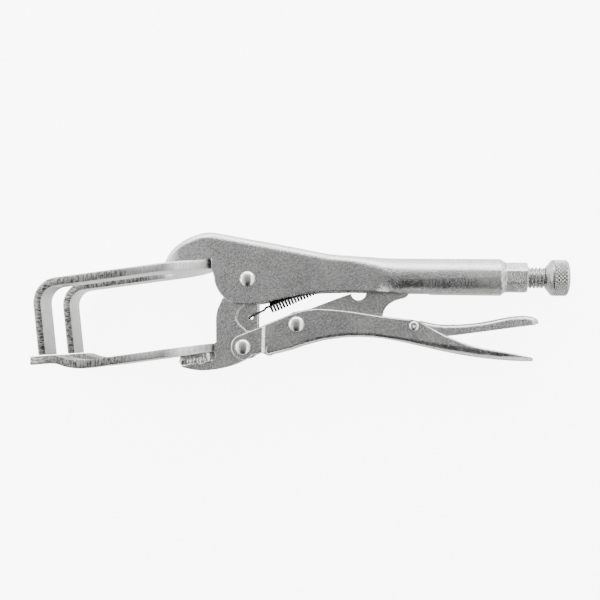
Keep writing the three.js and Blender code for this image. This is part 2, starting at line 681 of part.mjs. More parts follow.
function adjustingScrew() {
  const root = THREAD_RADIUS - THREAD_DEPTH;
  const start = NOSE_START + NOSE_LENGTH + GAP;
  const profile = [[start, 0], [start, root]];
  const threadedFrom = NECK_END - 3.8;
  profile.push([threadedFrom, root]);
  for (let x = threadedFrom; x + THREAD_PITCH < KNOB_START; x += THREAD_PITCH) {
    profile.push([x + 0.3 * THREAD_PITCH, THREAD_RADIUS], [x + 0.6 * THREAD_PITCH, THREAD_RADIUS]);
    profile.push([x + 0.9 * THREAD_PITCH, root]);
  }
  profile.push(
    [KNOB_START, root], [KNOB_START + 0.2, THREAD_RADIUS + 0.4], [KNOB_START + 1.9, KNOB_RADIUS - 1.2],
    [KNOB_START + 2.6, KNOB_RADIUS], [KNOB_END - 1.5, KNOB_RADIUS],
    [KNOB_END - 0.5, KNOB_RADIUS - 0.5], [KNOB_END, KNOB_RADIUS - 1.6], [KNOB_END, 0],
  );
  return turned(profile, 28);
}

function screwNose() {
  return turned([
    [NOSE_START, 0], [NOSE_START + 0.3, NOSE_RADIUS * 0.55], [NOSE_START + 1.2, NOSE_RADIUS * 0.9],
    [NOSE_START + 2, NOSE_RADIUS], [NOSE_START + NOSE_LENGTH, NOSE_RADIUS], [NOSE_START + NOSE_LENGTH, 0],
  ]);
}

// ---- return spring --------------------------------------------------------
// outer shape of the coil, with the wire legs that hook the jaw and the handle
function returnSpring() {
  const hook = new THREE.Vector3(SPRING_HOLE[0], SPRING_HOLE[1], 0);
  const tab = new THREE.Vector3(SPRING_TAB_X, SPRING_TAB_Y, 0);
  const coilStart = new THREE.Vector3(8, -12.1, 0);
  const along = tab.clone().sub(coilStart).normalize();
  const coilEnd = tab.clone().addScaledVector(along, -4.5);
  const tube = (from, to, radius, sides) => {
    const path = new THREE.LineCurve3(from, to);
    const ring = new THREE.Shape();
    ring.absarc(0, 0, radius, 0, 2 * Math.PI, false);
    const options = { steps: 1, extrudePath: path, bevelEnabled: false, curveSegments: sides };
    return solid(new THREE.ExtrudeGeometry(ring, options));
  };
  const coil = tube(coilStart, coilEnd, SPRING_RADIUS, 20);
  const inCoil = coilStart.clone().addScaledVector(along, 1);
  const outOfCoil = coilEnd.clone().addScaledVector(along, -1);
  const atTab = tab.clone().addScaledVector(along, -GAP);
  const frontLeg = tube(hook, inCoil, WIRE_RADIUS, 8);
  const rearLeg = tube(outOfCoil, atTab, WIRE_RADIUS, 8);
  return union(coil, frontLeg, rearLeg);
}

// ---- assembly -------------------------------------------------------------
const PLATED = 0xb9bab8;
const BRIGHT = 0xd6d6d4;
const BARE = 0x9a9a98;
const DARK_WIRE = 0x5c5b59;

const upper = new THREE.Group();
upper.add(
  named('upper_handle', upperHandle(), PLATED),
  named('upper_fork_jaw', upperForkJaw(), BRIGHT, 0.3),
  named('upper_jaw_weld', upperJawWeld(), BARE, 0.5),
  named('jaw_pivot_rivet', rivet(JAW_PIVOT, CHEEK_HALF, LARGE_RIVET), BRIGHT, 0.2),
);

const jaw = new THREE.Group();
jaw.add(
  named('lower_fork_jaw', lowerForkJaw(), BRIGHT, 0.3),
  named('jaw_plate_left', jawPlate(1), PLATED),
  named('jaw_plate_right', jawPlate(-1), PLATED),
  named('lower_jaw_weld_left', lowerJawWeld(1), BARE, 0.5),
  named('lower_jaw_weld_right', lowerJawWeld(-1), BARE, 0.5),
  named('handle_pivot_rivet', rivet(HANDLE_PIVOT, EAR_HALF, LARGE_RIVET), BRIGHT, 0.2),
);

const lower = new THREE.Group();
lower.add(
  named('lower_handle', lowerHandle(), PLATED),
  named('link_rivet', rivet(LINK_PIVOT, CHANNEL_HALF, LARGE_RIVET), BRIGHT, 0.2),
  named('link_spacer_left', linkSpacer(1), BARE, 0.4),
  named('link_spacer_right', linkSpacer(-1), BARE, 0.4),
  named('release_lever_rivet', rivet(RELEASE_PIVOT, CHANNEL_HALF, RING_RIVET), BRIGHT, 0.25),
);

const moving = new THREE.Group();
moving.add(
  named('toggle_link', toggleLink(), PLATED),
  named('release_lever', releaseLever(), PLATED),
  named('adjusting_screw', adjustingScrew(), PLATED, 0.3),
  named('screw_nose', screwNose(), BARE, 0.4),
  named('return_spring', returnSpring(), DARK_WIRE, 0.4),
);

// the origin goes to the middle of the underside of the overall box
const ORIGIN_X = (KNOB_END - FORK_REACH) / 2;
const ORIGIN_Y = (HUMP_TOP + JAW_BOTTOM) / 2;

const tool = new THREE.Group();
tool.position.set(-ORIGIN_X, -ORIGIN_Y, FORK_WIDTH / 2);
tool.add(upper, jaw, lower, moving);

const pliers = new THREE.Group();
pliers.add(tool);

export default pliers;
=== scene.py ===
# Locking welding clamp pliers, lying on their side on a pale floor.
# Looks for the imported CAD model: softened edges, wound spring, rolled thread,
# knurled knob, weld beads and plated steel finishes.  Metres, in the row frame.
import json
import math
import random

import bmesh
import bpy
from mathutils import Matrix, Vector, noise
from mathutils.bvhtree import BVHTree


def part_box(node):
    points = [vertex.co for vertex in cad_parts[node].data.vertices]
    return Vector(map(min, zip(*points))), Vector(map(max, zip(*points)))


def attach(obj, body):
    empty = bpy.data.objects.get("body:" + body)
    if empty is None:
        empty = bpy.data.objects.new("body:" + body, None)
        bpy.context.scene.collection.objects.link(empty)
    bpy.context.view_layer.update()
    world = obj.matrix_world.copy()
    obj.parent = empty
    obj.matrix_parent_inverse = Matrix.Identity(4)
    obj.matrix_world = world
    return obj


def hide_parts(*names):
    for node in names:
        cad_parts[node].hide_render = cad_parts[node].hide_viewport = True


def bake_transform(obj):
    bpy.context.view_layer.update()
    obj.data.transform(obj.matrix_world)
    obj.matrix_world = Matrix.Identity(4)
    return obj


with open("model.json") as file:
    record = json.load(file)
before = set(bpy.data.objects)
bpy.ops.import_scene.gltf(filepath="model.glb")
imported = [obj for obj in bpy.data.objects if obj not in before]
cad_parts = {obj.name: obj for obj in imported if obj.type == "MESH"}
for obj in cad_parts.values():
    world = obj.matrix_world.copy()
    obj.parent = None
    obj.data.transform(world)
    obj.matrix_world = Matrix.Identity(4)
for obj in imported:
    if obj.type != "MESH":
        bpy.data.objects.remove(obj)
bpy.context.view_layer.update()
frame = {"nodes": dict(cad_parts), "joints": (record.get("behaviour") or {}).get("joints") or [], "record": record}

NODES = frame["nodes"]
MM = 0.001


# ---- places from the frame --------------------------------------------------
def joint_place(name):
    """A joint's place in the frame."""
    for joint in frame["joints"]:
        if joint["name"] == name:
            return Vector(joint["pos_m"])
    raise ValueError("no joint " + name)


JAW_PIVOT = joint_place("jaw_swing")
HANDLE_PIVOT = joint_place("handle_swing")
LINK_PIVOT = joint_place("link_swing")
RELEASE_PIVOT = joint_place("release_swing")
MID_Z = JAW_PIVOT.z


def low(node):
    """The lowest corner of a node's box."""
    return Vector(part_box(node)[0])


def high(node):
    """The highest corner of a node's box."""
    return Vector(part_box(node)[1])


def middle(node):
    """The middle of a node's box."""
    return (low(node) + high(node)) / 2


# ---- node material tools ----------------------------------------------------
class Nodes:
    """A material's node tree, with short calls for the nodes that the finishes use."""

    def __init__(self, name):
        self.material = bpy.data.materials.new(name)
        self.material.use_nodes = True
        self.tree = self.material.node_tree
        self.shader = self.tree.nodes["Principled BSDF"]
        coordinates = self.tree.nodes.new("ShaderNodeTexCoord")
        self.place = coordinates.outputs["Object"]

    def new(self, kind, **values):
        node = self.tree.nodes.new(kind)
        for key, value in values.items():
            setattr(node, key, value)
        return node

    def link(self, output, socket):
        self.tree.links.new(output, socket)

    def stretched(self, scale):
        mapping = self.new("ShaderNodeMapping")
        mapping.inputs["Scale"].default_value = scale
        self.link(self.place, mapping.inputs["Vector"])
        return mapping.outputs["Vector"]

    def noise(self, per_metre, detail=3.0, roughness=0.55, vector=None):
        node = self.new("ShaderNodeTexNoise")
        node.inputs["Scale"].default_value = per_metre
        node.inputs["Detail"].default_value = detail
        node.inputs["Roughness"].default_value = roughness
        self.link(vector or self.place, node.inputs["Vector"])
        return node.outputs["Fac"]

    def ramp(self, value, stops):
        node = self.new("ShaderNodeValToRGB")
        while len(node.color_ramp.elements) < len(stops):
            node.color_ramp.elements.new(0.5)
        for element, (position, colour) in zip(node.color_ramp.elements, stops):
            element.position = position
            element.color = (*colour, 1.0)
        self.link(value, node.inputs["Fac"])
        return node.outputs["Color"]

    def range(self, value, low_out, high_out, low_in=0.0, high_in=1.0):
        node = self.new("ShaderNodeMapRange")
        node.inputs["From Min"].default_value = low_in
        node.inputs["From Max"].default_value = high_in
        node.inputs["To Min"].default_value = low_out
        node.inputs["To Max"].default_value = high_out
        self.link(value, node.inputs["Value"])
        return node.outputs["Result"]

    def mix(self, factor, first, second):
        node = self.new("ShaderNodeMix", data_type="RGBA")
        self.link(factor, node.inputs["Factor"])
        for value, index in ((first, 6), (second, 7)):
            if isinstance(value, tuple):
                node.inputs[index].default_value = (*value, 1.0)
            else:
                self.link(value, node.inputs[index])
        return node.outputs[2]

    def bump(self, height, strength, distance, below=None):
        node = self.new("ShaderNodeBump")
        node.inputs["Strength"].default_value = strength
        node.inputs["Distance"].default_value = distance
        self.link(height, node.inputs["Height"])
        if below is not None:
            self.link(below, node.inputs["Normal"])
        return node.outputs["Normal"]

    def finish(self, colour, roughness, normal):
        self.shader.inputs["Metallic"].default_value = 1.0
        self.link(colour, self.shader.inputs["Base Color"])
        self.link(roughness, self.shader.inputs["Roughness"])
        self.link(normal, self.shader.inputs["Normal"])
        return self.material


# ---- finishes ---------------------------------------------------------------
def plated_sheet():
    """Satin plate over pressed sheet: fine mottled grain under a soft sheen."""
    n = Nodes("plated_sheet")
    grain = n.noise(1700, 2.0, 0.6)
    mottle = n.noise(850, 3.0, 0.6)
    cloud = n.noise(60, 2.0)
    dull = n.mix(n.range(mottle, 0.0, 1.0, 0.36, 0.64), (0.44, 0.44, 0.435), (0.62, 0.62, 0.61))
    colour = n.mix(n.range(grain, 0.0, 0.6, 0.42, 0.68), dull, (0.76, 0.76, 0.75))
    roughness = n.range(cloud, 0.20, 0.30, 0.3, 0.7)
    relief = n.bump(grain, 0.8, 0.00013)
    relief = n.bump(mottle, 0.35, 0.00014, relief)
    relief = n.bump(cloud, 0.4, 0.0010, relief)
    return n.finish(colour, roughness, relief)


def plated_bar():
    """The smooth rolled faces of the fork bars."""
    n = Nodes("plated_bar")
    fine = n.noise(1800, 3.0, 0.6)
    broad = n.noise(140, 3.0)
    colour = n.mix(n.range(broad, 0.0, 1.0, 0.3, 0.7), (0.52, 0.52, 0.515), (0.68, 0.68, 0.67))
    roughness = n.range(broad, 0.28, 0.42, 0.3, 0.7)
    relief = n.bump(fine, 0.25, 0.00005)
    relief = n.bump(broad, 0.3, 0.0004, relief)
    return n.finish(colour, roughness, relief)


def sheared_edge():
    """Punched side faces of the forks: dark torn metal with chatter marks, with painted light that brightens them
    near the handle.
    """
    n = Nodes("sheared_edge")
    chatter_on_plate = n.noise(1500, 3.0, 0.7, n.stretched((1.0, 0.22, 1.0)))
    chatter_on_tine = n.noise(1500, 3.0, 0.7, n.stretched((0.22, 1.0, 1.0)))
    split = n.new("ShaderNodeSeparateXYZ")
    n.link(n.place, split.inputs["Vector"])
    tips_x = low("upper_fork_jaw").x
    bend_x = tips_x + 9 * MM
    painted_light_from = tips_x + 39 * MM
    painted_light_to = tips_x + 50 * MM
    on_plate = n.range(split.outputs["X"], 0.0, 1.0, bend_x - 3 * MM, bend_x + 3 * MM)
    across = n.mix(on_plate, chatter_on_tine, chatter_on_plate)
    tear = n.noise(2100, 3.0, 0.7)
    spots = n.noise(800, 3.0, 0.6)
    dark = n.mix(n.range(across, 0.0, 1.0, 0.4, 0.6), (0.07, 0.07, 0.068), (0.42, 0.42, 0.41))
    torn = n.mix(n.range(spots, 0.0, 0.6, 0.58, 0.7), dark, (0.86, 0.86, 0.85))
    # painted light and shade: the band is lifted towards bright near the handle and stays dark along the tines;
    # the torn tone and chatter marks are the metal's own
    painted_light_near_handle = n.range(split.outputs["X"], 0.0, 0.52, painted_light_from, painted_light_to)
    colour = n.mix(painted_light_near_handle, torn, (0.84, 0.84, 0.83))
    roughness = n.range(tear, 0.24, 0.5, 0.3, 0.7)
    relief = n.bump(across, 0.5, 0.00018)
    relief = n.bump(tear, 0.4, 0.0001, relief)
    return n.finish(colour, roughness, relief)


def bright_rivet():
    """Bright plate on a headed rivet, with faint dents."""
    n = Nodes("bright_rivet")
    fine = n.noise(1400, 3.0)
    broad = n.noise(420, 2.0)
    colour = n.mix(broad, (0.74, 0.74, 0.73), (0.86, 0.86, 0.85))
    roughness = n.range(fine, 0.16, 0.26, 0.3, 0.7)
    relief = n.bump(fine, 0.2, 0.00005)
    relief = n.bump(broad, 0.35, 0.0003, relief)
    return n.finish(colour, roughness, relief)


def weld_metal():
    """Plated weld metal, lumpy and unevenly bright."""
    n = Nodes("weld_metal")
    lumps = n.noise(520, 3.0)
    fine = n.noise(2400, 2.0)
    colour = n.mix(n.range(lumps, 0.0, 1.0, 0.35, 0.65), (0.42, 0.42, 0.41), (0.74, 0.74, 0.73))
    roughness = n.range(lumps, 0.22, 0.42, 0.3, 0.7)
    relief = n.bump(lumps, 0.5, 0.0006)
    relief = n.bump(fine, 0.3, 0.0001, relief)
    return n.finish(colour, roughness, relief)


def screw_plate():
    """Plated turned steel with faint turning lines round the screw axis."""
    n = Nodes("screw_plate")
    lines = n.noise(1.0, 2.0, 0.5, n.stretched((5200.0, 60.0, 60.0)))
    fine = n.noise(2000, 3.0)
    colour = n.mix(n.range(fine, 0.0, 1.0, 0.35, 0.65), (0.24, 0.24, 0.236), (0.56, 0.56, 0.55))
    roughness = n.range(fine, 0.2, 0.32, 0.3, 0.7)
    relief = n.bump(lines, 0.2, 0.00006)
    relief = n.bump(fine, 0.2, 0.00006, relief)
    return n.finish(colour, roughness, relief)


def spring_wire():
    """Dark drawn wire."""
    n = Nodes("spring_wire")
    fine = n.noise(3000, 2.0)
    broad = n.noise(500, 2.0)
    colour = n.mix(broad, (0.035, 0.035, 0.035), (0.12, 0.12, 0.118))
    roughness = n.range(fine, 0.3, 0.45, 0.3, 0.7)
    n.shader.inputs["Specular Tint"].default_value = (0.2, 0.2, 0.2, 1)
    return n.finish(colour, roughness, n.bump(fine, 0.3, 0.00004))


FINISH = {
    "plated_sheet": plated_sheet(),
    "plated_bar": plated_bar(),
    "sheared_edge": sheared_edge(),
    "rivet": bright_rivet(),
    "weld": weld_metal(),
    "screw": screw_plate(),
    "spring_wire": spring_wire(),
}
BODY_OF = {node: body for body, nodes in frame["record"]["behaviour"]["bodies"].items() for node in nodes}
SLOT_OF = {row["node"]: row["material_slot"] for row in frame["record"]["subparts"]}


# ---- mesh tools -------------------------------------------------------------
def new_piece(name, mesh, *finishes):
    """An object in the scene that shows the mesh with the named finishes."""
    piece = bpy.data.objects.new(name, mesh)
    bpy.context.scene.collection.objects.link(piece)
    for finish in finishes:
        mesh.materials.append(FINISH[finish])
    return piece


def stand_for(piece, node):
    """The piece takes a CAD node's place and body; the node is hidden."""
    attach(piece, BODY_OF[node])
    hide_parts(node)


def mesh_from(bm, name):
    """A mesh with the edit mesh's faces; the edit mesh is freed."""
    mesh = bpy.data.meshes.new(name)
    bm.to_mesh(mesh)
    bm.free()
    return mesh


def skinned(name, rings):
    """A closed mesh through equal rings of places, with a face over each end."""
    bm = bmesh.new()
    loops = [[bm.verts.new(place) for place in ring] for ring in rings]
    for first, second in zip(loops, loops[1:]):
        for i in range(len(first)):
            j = (i + 1) % len(first)
            bm.faces.new((first[i], first[j], second[j], second[i]))
    bm.faces.new(list(reversed(loops[0])))
    bm.faces.new(loops[-1])
    bmesh.ops.recalc_face_normals(bm, faces=bm.faces)
    return mesh_from(bm, name)


def shade_smooth(mesh, angle_deg):
    """Smooth shading with sharp edges where faces meet at more than the angle."""
    limit = math.radians(angle_deg)
    bm = bmesh.new()
    bm.from_mesh(mesh)
    for face in bm.faces:
        face.smooth = True
    for edge in bm.edges:
        edge.smooth = len(edge.link_faces) == 2 and edge.calc_face_angle(0.0) < limit
    bm.to_mesh(mesh)
    bm.free()


SAME_CORNER = 0.002 * MM
FLAT_ANGLE = math.radians(0.6)


def clean_copy(node):
    """A CAD node's mesh with shared corners joined and flat facets merged."""
    bm = bmesh.new()
    bm.from_mesh(NODES[node].data)
    bmesh.ops.remove_doubles(bm, verts=bm.verts, dist=SAME_CORNER)
    bmesh.ops.dissolve_limit(bm, angle_limit=FLAT_ANGLE, verts=bm.verts, edges=bm.edges)
    return bm


STRAY_SHARE = 0.45          # of the rounding's width; a corner farther off the old surface is pulled back


def soften(bm, width, segments=3, angle_deg=32.0, chosen=None, clamped=False):
    """Rounds the edges that are sharper than the angle, and keeps every corner by the old surface."""
    limit = math.radians(angle_deg)
    before = BVHTree.FromBMesh(bm)
    farthest = STRAY_SHARE * width
    edges = []
    for edge in bm.edges:
        if len(edge.link_faces) == 2 and edge.calc_face_angle(0.0) > limit:
            if chosen is None or chosen(edge):
                edges.append(edge)
    bmesh.ops.bevel(
        bm, geom=edges, offset=width, segments=segments, profile=0.5, affect="EDGES",
        clamp_overlap=clamped, offset_type="OFFSET",
    )
    for vert in bm.verts:
        nearest, _, _, distance = before.find_nearest(vert.co)
        if distance > farthest:
            vert.co = nearest


# ---- pressed sheets ---------------------------------------------------------
HOLE_REACH = 4 * MM         # edges this near a pivot are a rivet's seat, under its head
SPLINTER = 0.3 * MM         # a pressed channel's corners nearer than this are closed up
CHANNEL_ROUND = {"upper_handle": 0.55, "lower_handle": 0.75, "release_lever": 0.45}
FLAT_ROUND = {"toggle_link": 0.5, "jaw_plate_left": 0.5, "jaw_plate_right": 0.5}


def softened_sheet(node, width, flat=False):
    """A pressed sheet with rounded rims; a flat plate's corners stay as they are."""
    bm = clean_copy(node)
    if not flat:
        bmesh.ops.remove_doubles(bm, verts=bm.verts, dist=SPLINTER)
    pivots = (JAW_PIVOT, HANDLE_PIVOT, LINK_PIVOT, RELEASE_PIVOT)

    def off_the_seats(edge):
        place = (edge.verts[0].co + edge.verts[1].co) / 2
        return all((place - pivot).xy.length > HOLE_REACH for pivot in pivots)

    soften(bm, width, chosen=off_the_seats, clamped=flat)
    name = node + "_sheet"
    mesh = mesh_from(bm, name)
    piece = new_piece(name, mesh, "plated_sheet")
    weighted = piece.modifiers.new("weighted", "WEIGHTED_NORMAL")
    weighted.keep_sharp = True
    shade_smooth(mesh, 40.0)
    stand_for(piece, node)


for node, width in CHANNEL_ROUND.items():
    softened_sheet(node, width * MM)
for node, width in FLAT_ROUND.items():
    softened_sheet(node, width * MM, flat=True)


# ---- fork jaws --------------------------------------------------------------
PUNCH_ROUND = 0.9 * MM      # the punch draws the outer face's edges over
BURR_ROUND = 0.3 * MM
FORK_FINISHES = ("plated_bar", "sheared_edge")


def is_cut_face(face):
    """True on the bar's side faces, which the punch sheared: they look along the tool's thickness."""
    return abs(face.normal.z) > 0.35


def is_band(face, node):
    """True on the sheared band round the plan outline: the faces square to the rolled faces."""
    centre = face.calc_center_median()
    back = high(node).x
    square = abs(face.normal.z) > 0.8
    round_end = abs(face.normal.z) > 0.12 and centre.x > back - 30 * MM
    closed_end = abs(face.normal.x) > 0.8 and centre.x > back - 3 * MM
    return square or round_end or closed_end


def fork_piece(node, name, outer_face):
    """A fork bar: outer edges rolled over, inner edges crisp, sheared bands apart from rolled faces."""
    bm = clean_copy(node)

    def rolled_over(edge):
        kinds = [is_cut_face(face) for face in edge.link_faces]
        smooth_face = next((f for f, cut in zip(edge.link_faces, kinds) if not cut), None)
        return any(kinds) and smooth_face is not None and outer_face(smooth_face)

    soften(bm, PUNCH_ROUND, 4, 40.0, rolled_over)
    soften(bm, BURR_ROUND, 2, 40.0)
    for face in bm.faces:
        face.material_index = FORK_FINISHES.index("sheared_edge") if is_band(face, node) else 0
    mesh = mesh_from(bm, name)
    piece = new_piece(name, mesh, *FORK_FINISHES)
    shade_smooth(mesh, 40.0)
    stand_for(piece, node)


fork_piece("upper_fork_jaw", "upper_fork_bar", lambda f: f.normal.y > 0.2 or f.normal.x < -0.5)
fork_piece("lower_fork_jaw", "lower_fork_bar", lambda f: f.normal.y < -0.2)


# ---- rivets -----------------------------------------------------------------
def lathe_piece(name, centre, profile, finish, segments=64, axis="Z"):
    """A turned mesh from (radius, along) points about an axis through centre."""
    rings = []
    for radius, along in profile:
        ring = []
        for i in range(segments):
            angle = 2 * math.pi * i / segments
            across = (radius * math.cos(angle), radius * math.sin(angle))
            place = (*across, along) if axis == "Z" else (along, *across)
            ring.append(Vector(centre) + Vector(place))
        rings.append(ring)
    mesh = skinned(name, rings)
    piece = new_piece(name, mesh, finish)
    shade_smooth(mesh, 50.0)
    return piece


# shares of the head's radius
DOME_HEIGHT = 0.5
RING_HEIGHT = 0.43          # of the small rivet, whose head is punched into a ring
SHANK_SHARE = 0.86
UNDERSIDE_SHARE = 0.97
POLE_SHARE = 0.02
RING_SHARE = 0.42
RIM_SHARE = 0.22            # of the dome's height
DOME_STEPS = 14
DIMPLE = ((0.8, 0.25), (0.5, 0.6), (0.1, 0.66))     # shares of the ring's inner radius and the dome


def rivet_piece(node, dimpled=False):
    """A headed rivet: low dome with a soft rim, a plain shank and the same head on the far side."""
    lowest, highest = low(node), high(node)
    radius = (highest.x - lowest.x) / 2
    top = (highest.z - lowest.z) / 2
    dome = radius * (RING_HEIGHT if dimpled else DOME_HEIGHT)
    hollow = radius * (RING_SHARE if dimpled else POLE_SHARE)
    rim = dome * RIM_SHARE
    seat = top - dome
    upper_half = [(radius * SHANK_SHARE, seat), (radius * UNDERSIDE_SHARE, seat)]
    for i in range(DOME_STEPS + 1):
        angle = math.pi / 2 * i / DOME_STEPS
        reach = hollow + (radius - hollow) * math.cos(angle)
        upper_half.append((reach, seat + rim + (dome - rim) * math.sin(angle)))
    if dimpled:
        upper_half += [(hollow * reach, top - dome * drop) for reach, drop in DIMPLE]
    lower_half = [(reach, -along) for reach, along in reversed(upper_half)]
    piece = lathe_piece(node + "_head", middle(node), lower_half + upper_half, "rivet")
    stand_for(piece, node)


for node in ("jaw_pivot_rivet", "handle_pivot_rivet", "link_rivet"):
    rivet_piece(node)
rivet_piece("release_lever_rivet", dimpled=True)


# ---- adjusting screw --------------------------------------------------------
THREAD_PITCH = 1.6 * MM
THREAD_RADIUS = 4.65 * MM
THREAD_DEPTH = 0.85 * MM
THREAD_ROOT = THREAD_RADIUS - THREAD_DEPTH
ROOT_SHARE = 0.18           # of half a pitch: the flat root
FLANK_SHARE = 0.62          # of half a pitch: the sloping flank, and the rest is flat crest
END_SHARE = 0.02            # of the depth that the thread keeps where it meets the knob
# back from the knob's end face
THREAD_START = 30 * MM
THREAD_END = 9 * MM
SHANK_END = 29.7 * MM
SHANK_CHAMFER = 0.6 * MM    # at the screw's inner end
TIP_SHARE = 0.8             # of the thread's root radius, at the inner end's face


def round_screw(x, axis_y, radius, angle):
    """A place at the angle round the screw's axis."""
    return (x, axis_y + radius * math.cos(angle), MID_Z + radius * math.sin(angle))


def helix_thread(name, start, end, axis_y):
    """A rolled thread: one radius for each turn angle and place along the axis."""
    around = 48
    per_pitch = 10
    steps = int((end - start) / THREAD_PITCH * per_pitch)
    rings = []
    for k in range(steps + 1):
        x = start + (end - start) * k / steps
        fade = min(1.0, (x - start) / THREAD_PITCH, (end - x) / THREAD_PITCH + END_SHARE)
        ring = []
        for i in range(around):
            angle = 2 * math.pi * i / around
            phase = ((x - start) / THREAD_PITCH + i / around) % 1.0
            crest = 1.0 - abs(2 * phase - 1.0)
            height = min(1.0, max(0.0, (crest - ROOT_SHARE) / FLANK_SHARE))
            radius = THREAD_ROOT + THREAD_DEPTH * height * max(0.0, fade)
            ring.append(round_screw(x, axis_y, radius, angle))
        rings.append(ring)
    mesh = skinned(name, rings)
    piece = new_piece(name, mesh, "screw")
    shade_smooth(mesh, 45.0)
    return piece


# the knob's outline: mm back from its end face, share of its radius
KNOB_NECK = (
    (-9.35, 0.30), (-9.3, 0.60), (-8.9, 0.66), (-8.2, 0.76), (-7.6, 0.86), (-7.25, 0.90), (-7.1, 0.935),
)
KNOB_BEVEL = ((-7.0, 0.955), (-6.83, 0.955), (-6.66, 0.955), (-6.49, 0.955))
KNOB_FACE = (
    (-0.82, 0.975), (-0.5, 0.955), (-0.22, 0.92), (-0.06, 0.87), (0.0, 0.80), (-0.05, 0.5), (-0.1, 0.2),
    (-0.1, 0.02),
)
RIM_START = -6.45           # the knurled rim, mm back from the end face
RIM_END = -1.0
RIM_STEPS = 34
RIM_EASE = 0.35             # mm over which the grooves run out at both sides of the rim
KNURL_COUNT = 30
KNURL_DEPTH = 0.48 * MM
GROOVE_SHARE = 0.75         # of a diamond's half width


def knob(name, end, radius, axis_y):
    """The screw's head: neck cone, smooth bevel, diamond-knurled rim and a rounded end face."""
    around = 240
    diamond_angle = 2 * math.pi / KNURL_COUNT
    diamond_length = 2 * math.pi * radius / KNURL_COUNT
    rim = [(RIM_START + (RIM_END - RIM_START) * i / RIM_STEPS, 1.0) for i in range(RIM_STEPS + 1)]
    rings = []
    for along, share in (*KNOB_NECK, *KNOB_BEVEL, *rim, *KNOB_FACE):
        on_rim = RIM_START <= along <= RIM_END
        ease = min(1.0, (along - RIM_START) / RIM_EASE, (RIM_END - along) / RIM_EASE) if on_rim else 0.0
        shift = along * MM / diamond_length
        ring = []
        for i in range(around):
            angle = 2 * math.pi * i / around
            rising = (angle / diamond_angle + shift) % 1.0
            falling = (angle / diamond_angle - shift) % 1.0
            off_groove = min(abs(rising - 0.5), abs(falling - 0.5)) * 2
            cut = KNURL_DEPTH * (1.0 - min(1.0, off_groove / GROOVE_SHARE)) * ease
            ring.append(round_screw(end + along * MM, axis_y, radius * share - cut, angle))
        rings.append(ring)
    mesh = skinned(name, rings)
    piece = new_piece(name, mesh, "screw")
    shade_smooth(mesh, 30.0)
    return piece


def adjusting_screw():
    """Knob, thread and plain core, which turn as one."""
    node = "adjusting_screw"
    lowest, highest = low(node), high(node)
    axis_y = (lowest.y + highest.y) / 2
    radius = (highest.y - lowest.y) / 2
    head = knob("screw_knob", highest.x, radius, axis_y)
    thread = helix_thread("screw_thread", highest.x - THREAD_START, highest.x - THREAD_END, axis_y)
    outline = [
        (THREAD_ROOT * TIP_SHARE, lowest.x),
        (THREAD_ROOT, lowest.x + SHANK_CHAMFER),
        (THREAD_ROOT, highest.x - SHANK_END),
    ]
    shank = lathe_piece("screw_shank", (0, axis_y, MID_Z), outline, "screw", 48, "X")
    for piece in (head, thread, shank):
        stand_for(piece, node)


adjusting_screw()


# ---- return spring ----------------------------------------------------------
WIRE = 0.54 * MM
COIL_RADIUS = 2.1 * MM
COIL_TURNS = 21
TURN_STEPS = 20
COIL_BACK_GAP = 4.8 * MM    # from the coil's end to the tab
COIL_END_SHARE = 0.4        # of the coil's radius, where its first and last turns begin
LEG_STEPS = 4
EYE_RADIUS = 1.6 * MM
EYE_CENTRE = 3.0 * MM       # past the coil's end
EYE_ROOT = 1.2 * MM
EYE_STEPS = 10
# millimetres across the flat of the tool, from the jaw pivot
SPRING_HOOK = (1.0, -16.9)
SPRING_TAB = (40.8, 1.4)
COIL_FRONT = (9.2, -12.7)
# the front leg: millimetres from the hole it hooks into, then along, up and across from the coil's front
LEG_BY_HOLE = ((-0.7, -0.4, 2.2), (-0.4, -0.2, 2.9), (0.5, 0.4, 3.1))
LEG_BY_COIL = ((-2.2, 0.0, 2.4), (-0.9, 1.0, 1.8))


def swept_wire(name, path, radius, sides=10):
    """A round wire along a chain of points, with closed ends."""
    rings = []
    side = Vector((0, 0, 1))
    for k, place in enumerate(path):
        ahead = path[min(k + 1, len(path) - 1)] - path[max(k - 1, 0)]
        ahead.normalize()
        side = (side - ahead * side.dot(ahead)).normalized()
        other = ahead.cross(side)
        ring = []
        for i in range(sides):
            angle = 2 * math.pi * i / sides
            ring.append(place + radius * (math.cos(angle) * side + math.sin(angle) * other))
        rings.append(ring)
    mesh = skinned(name, rings)
    piece = new_piece(name, mesh, "spring_wire")
    for face in mesh.polygons:
        face.use_smooth = True
    return piece


def from_pivot(x, y):
    """A place in the middle plane, given in millimetres from the jaw pivot."""
    return JAW_PIVOT + Vector((x, y, 0)) * MM


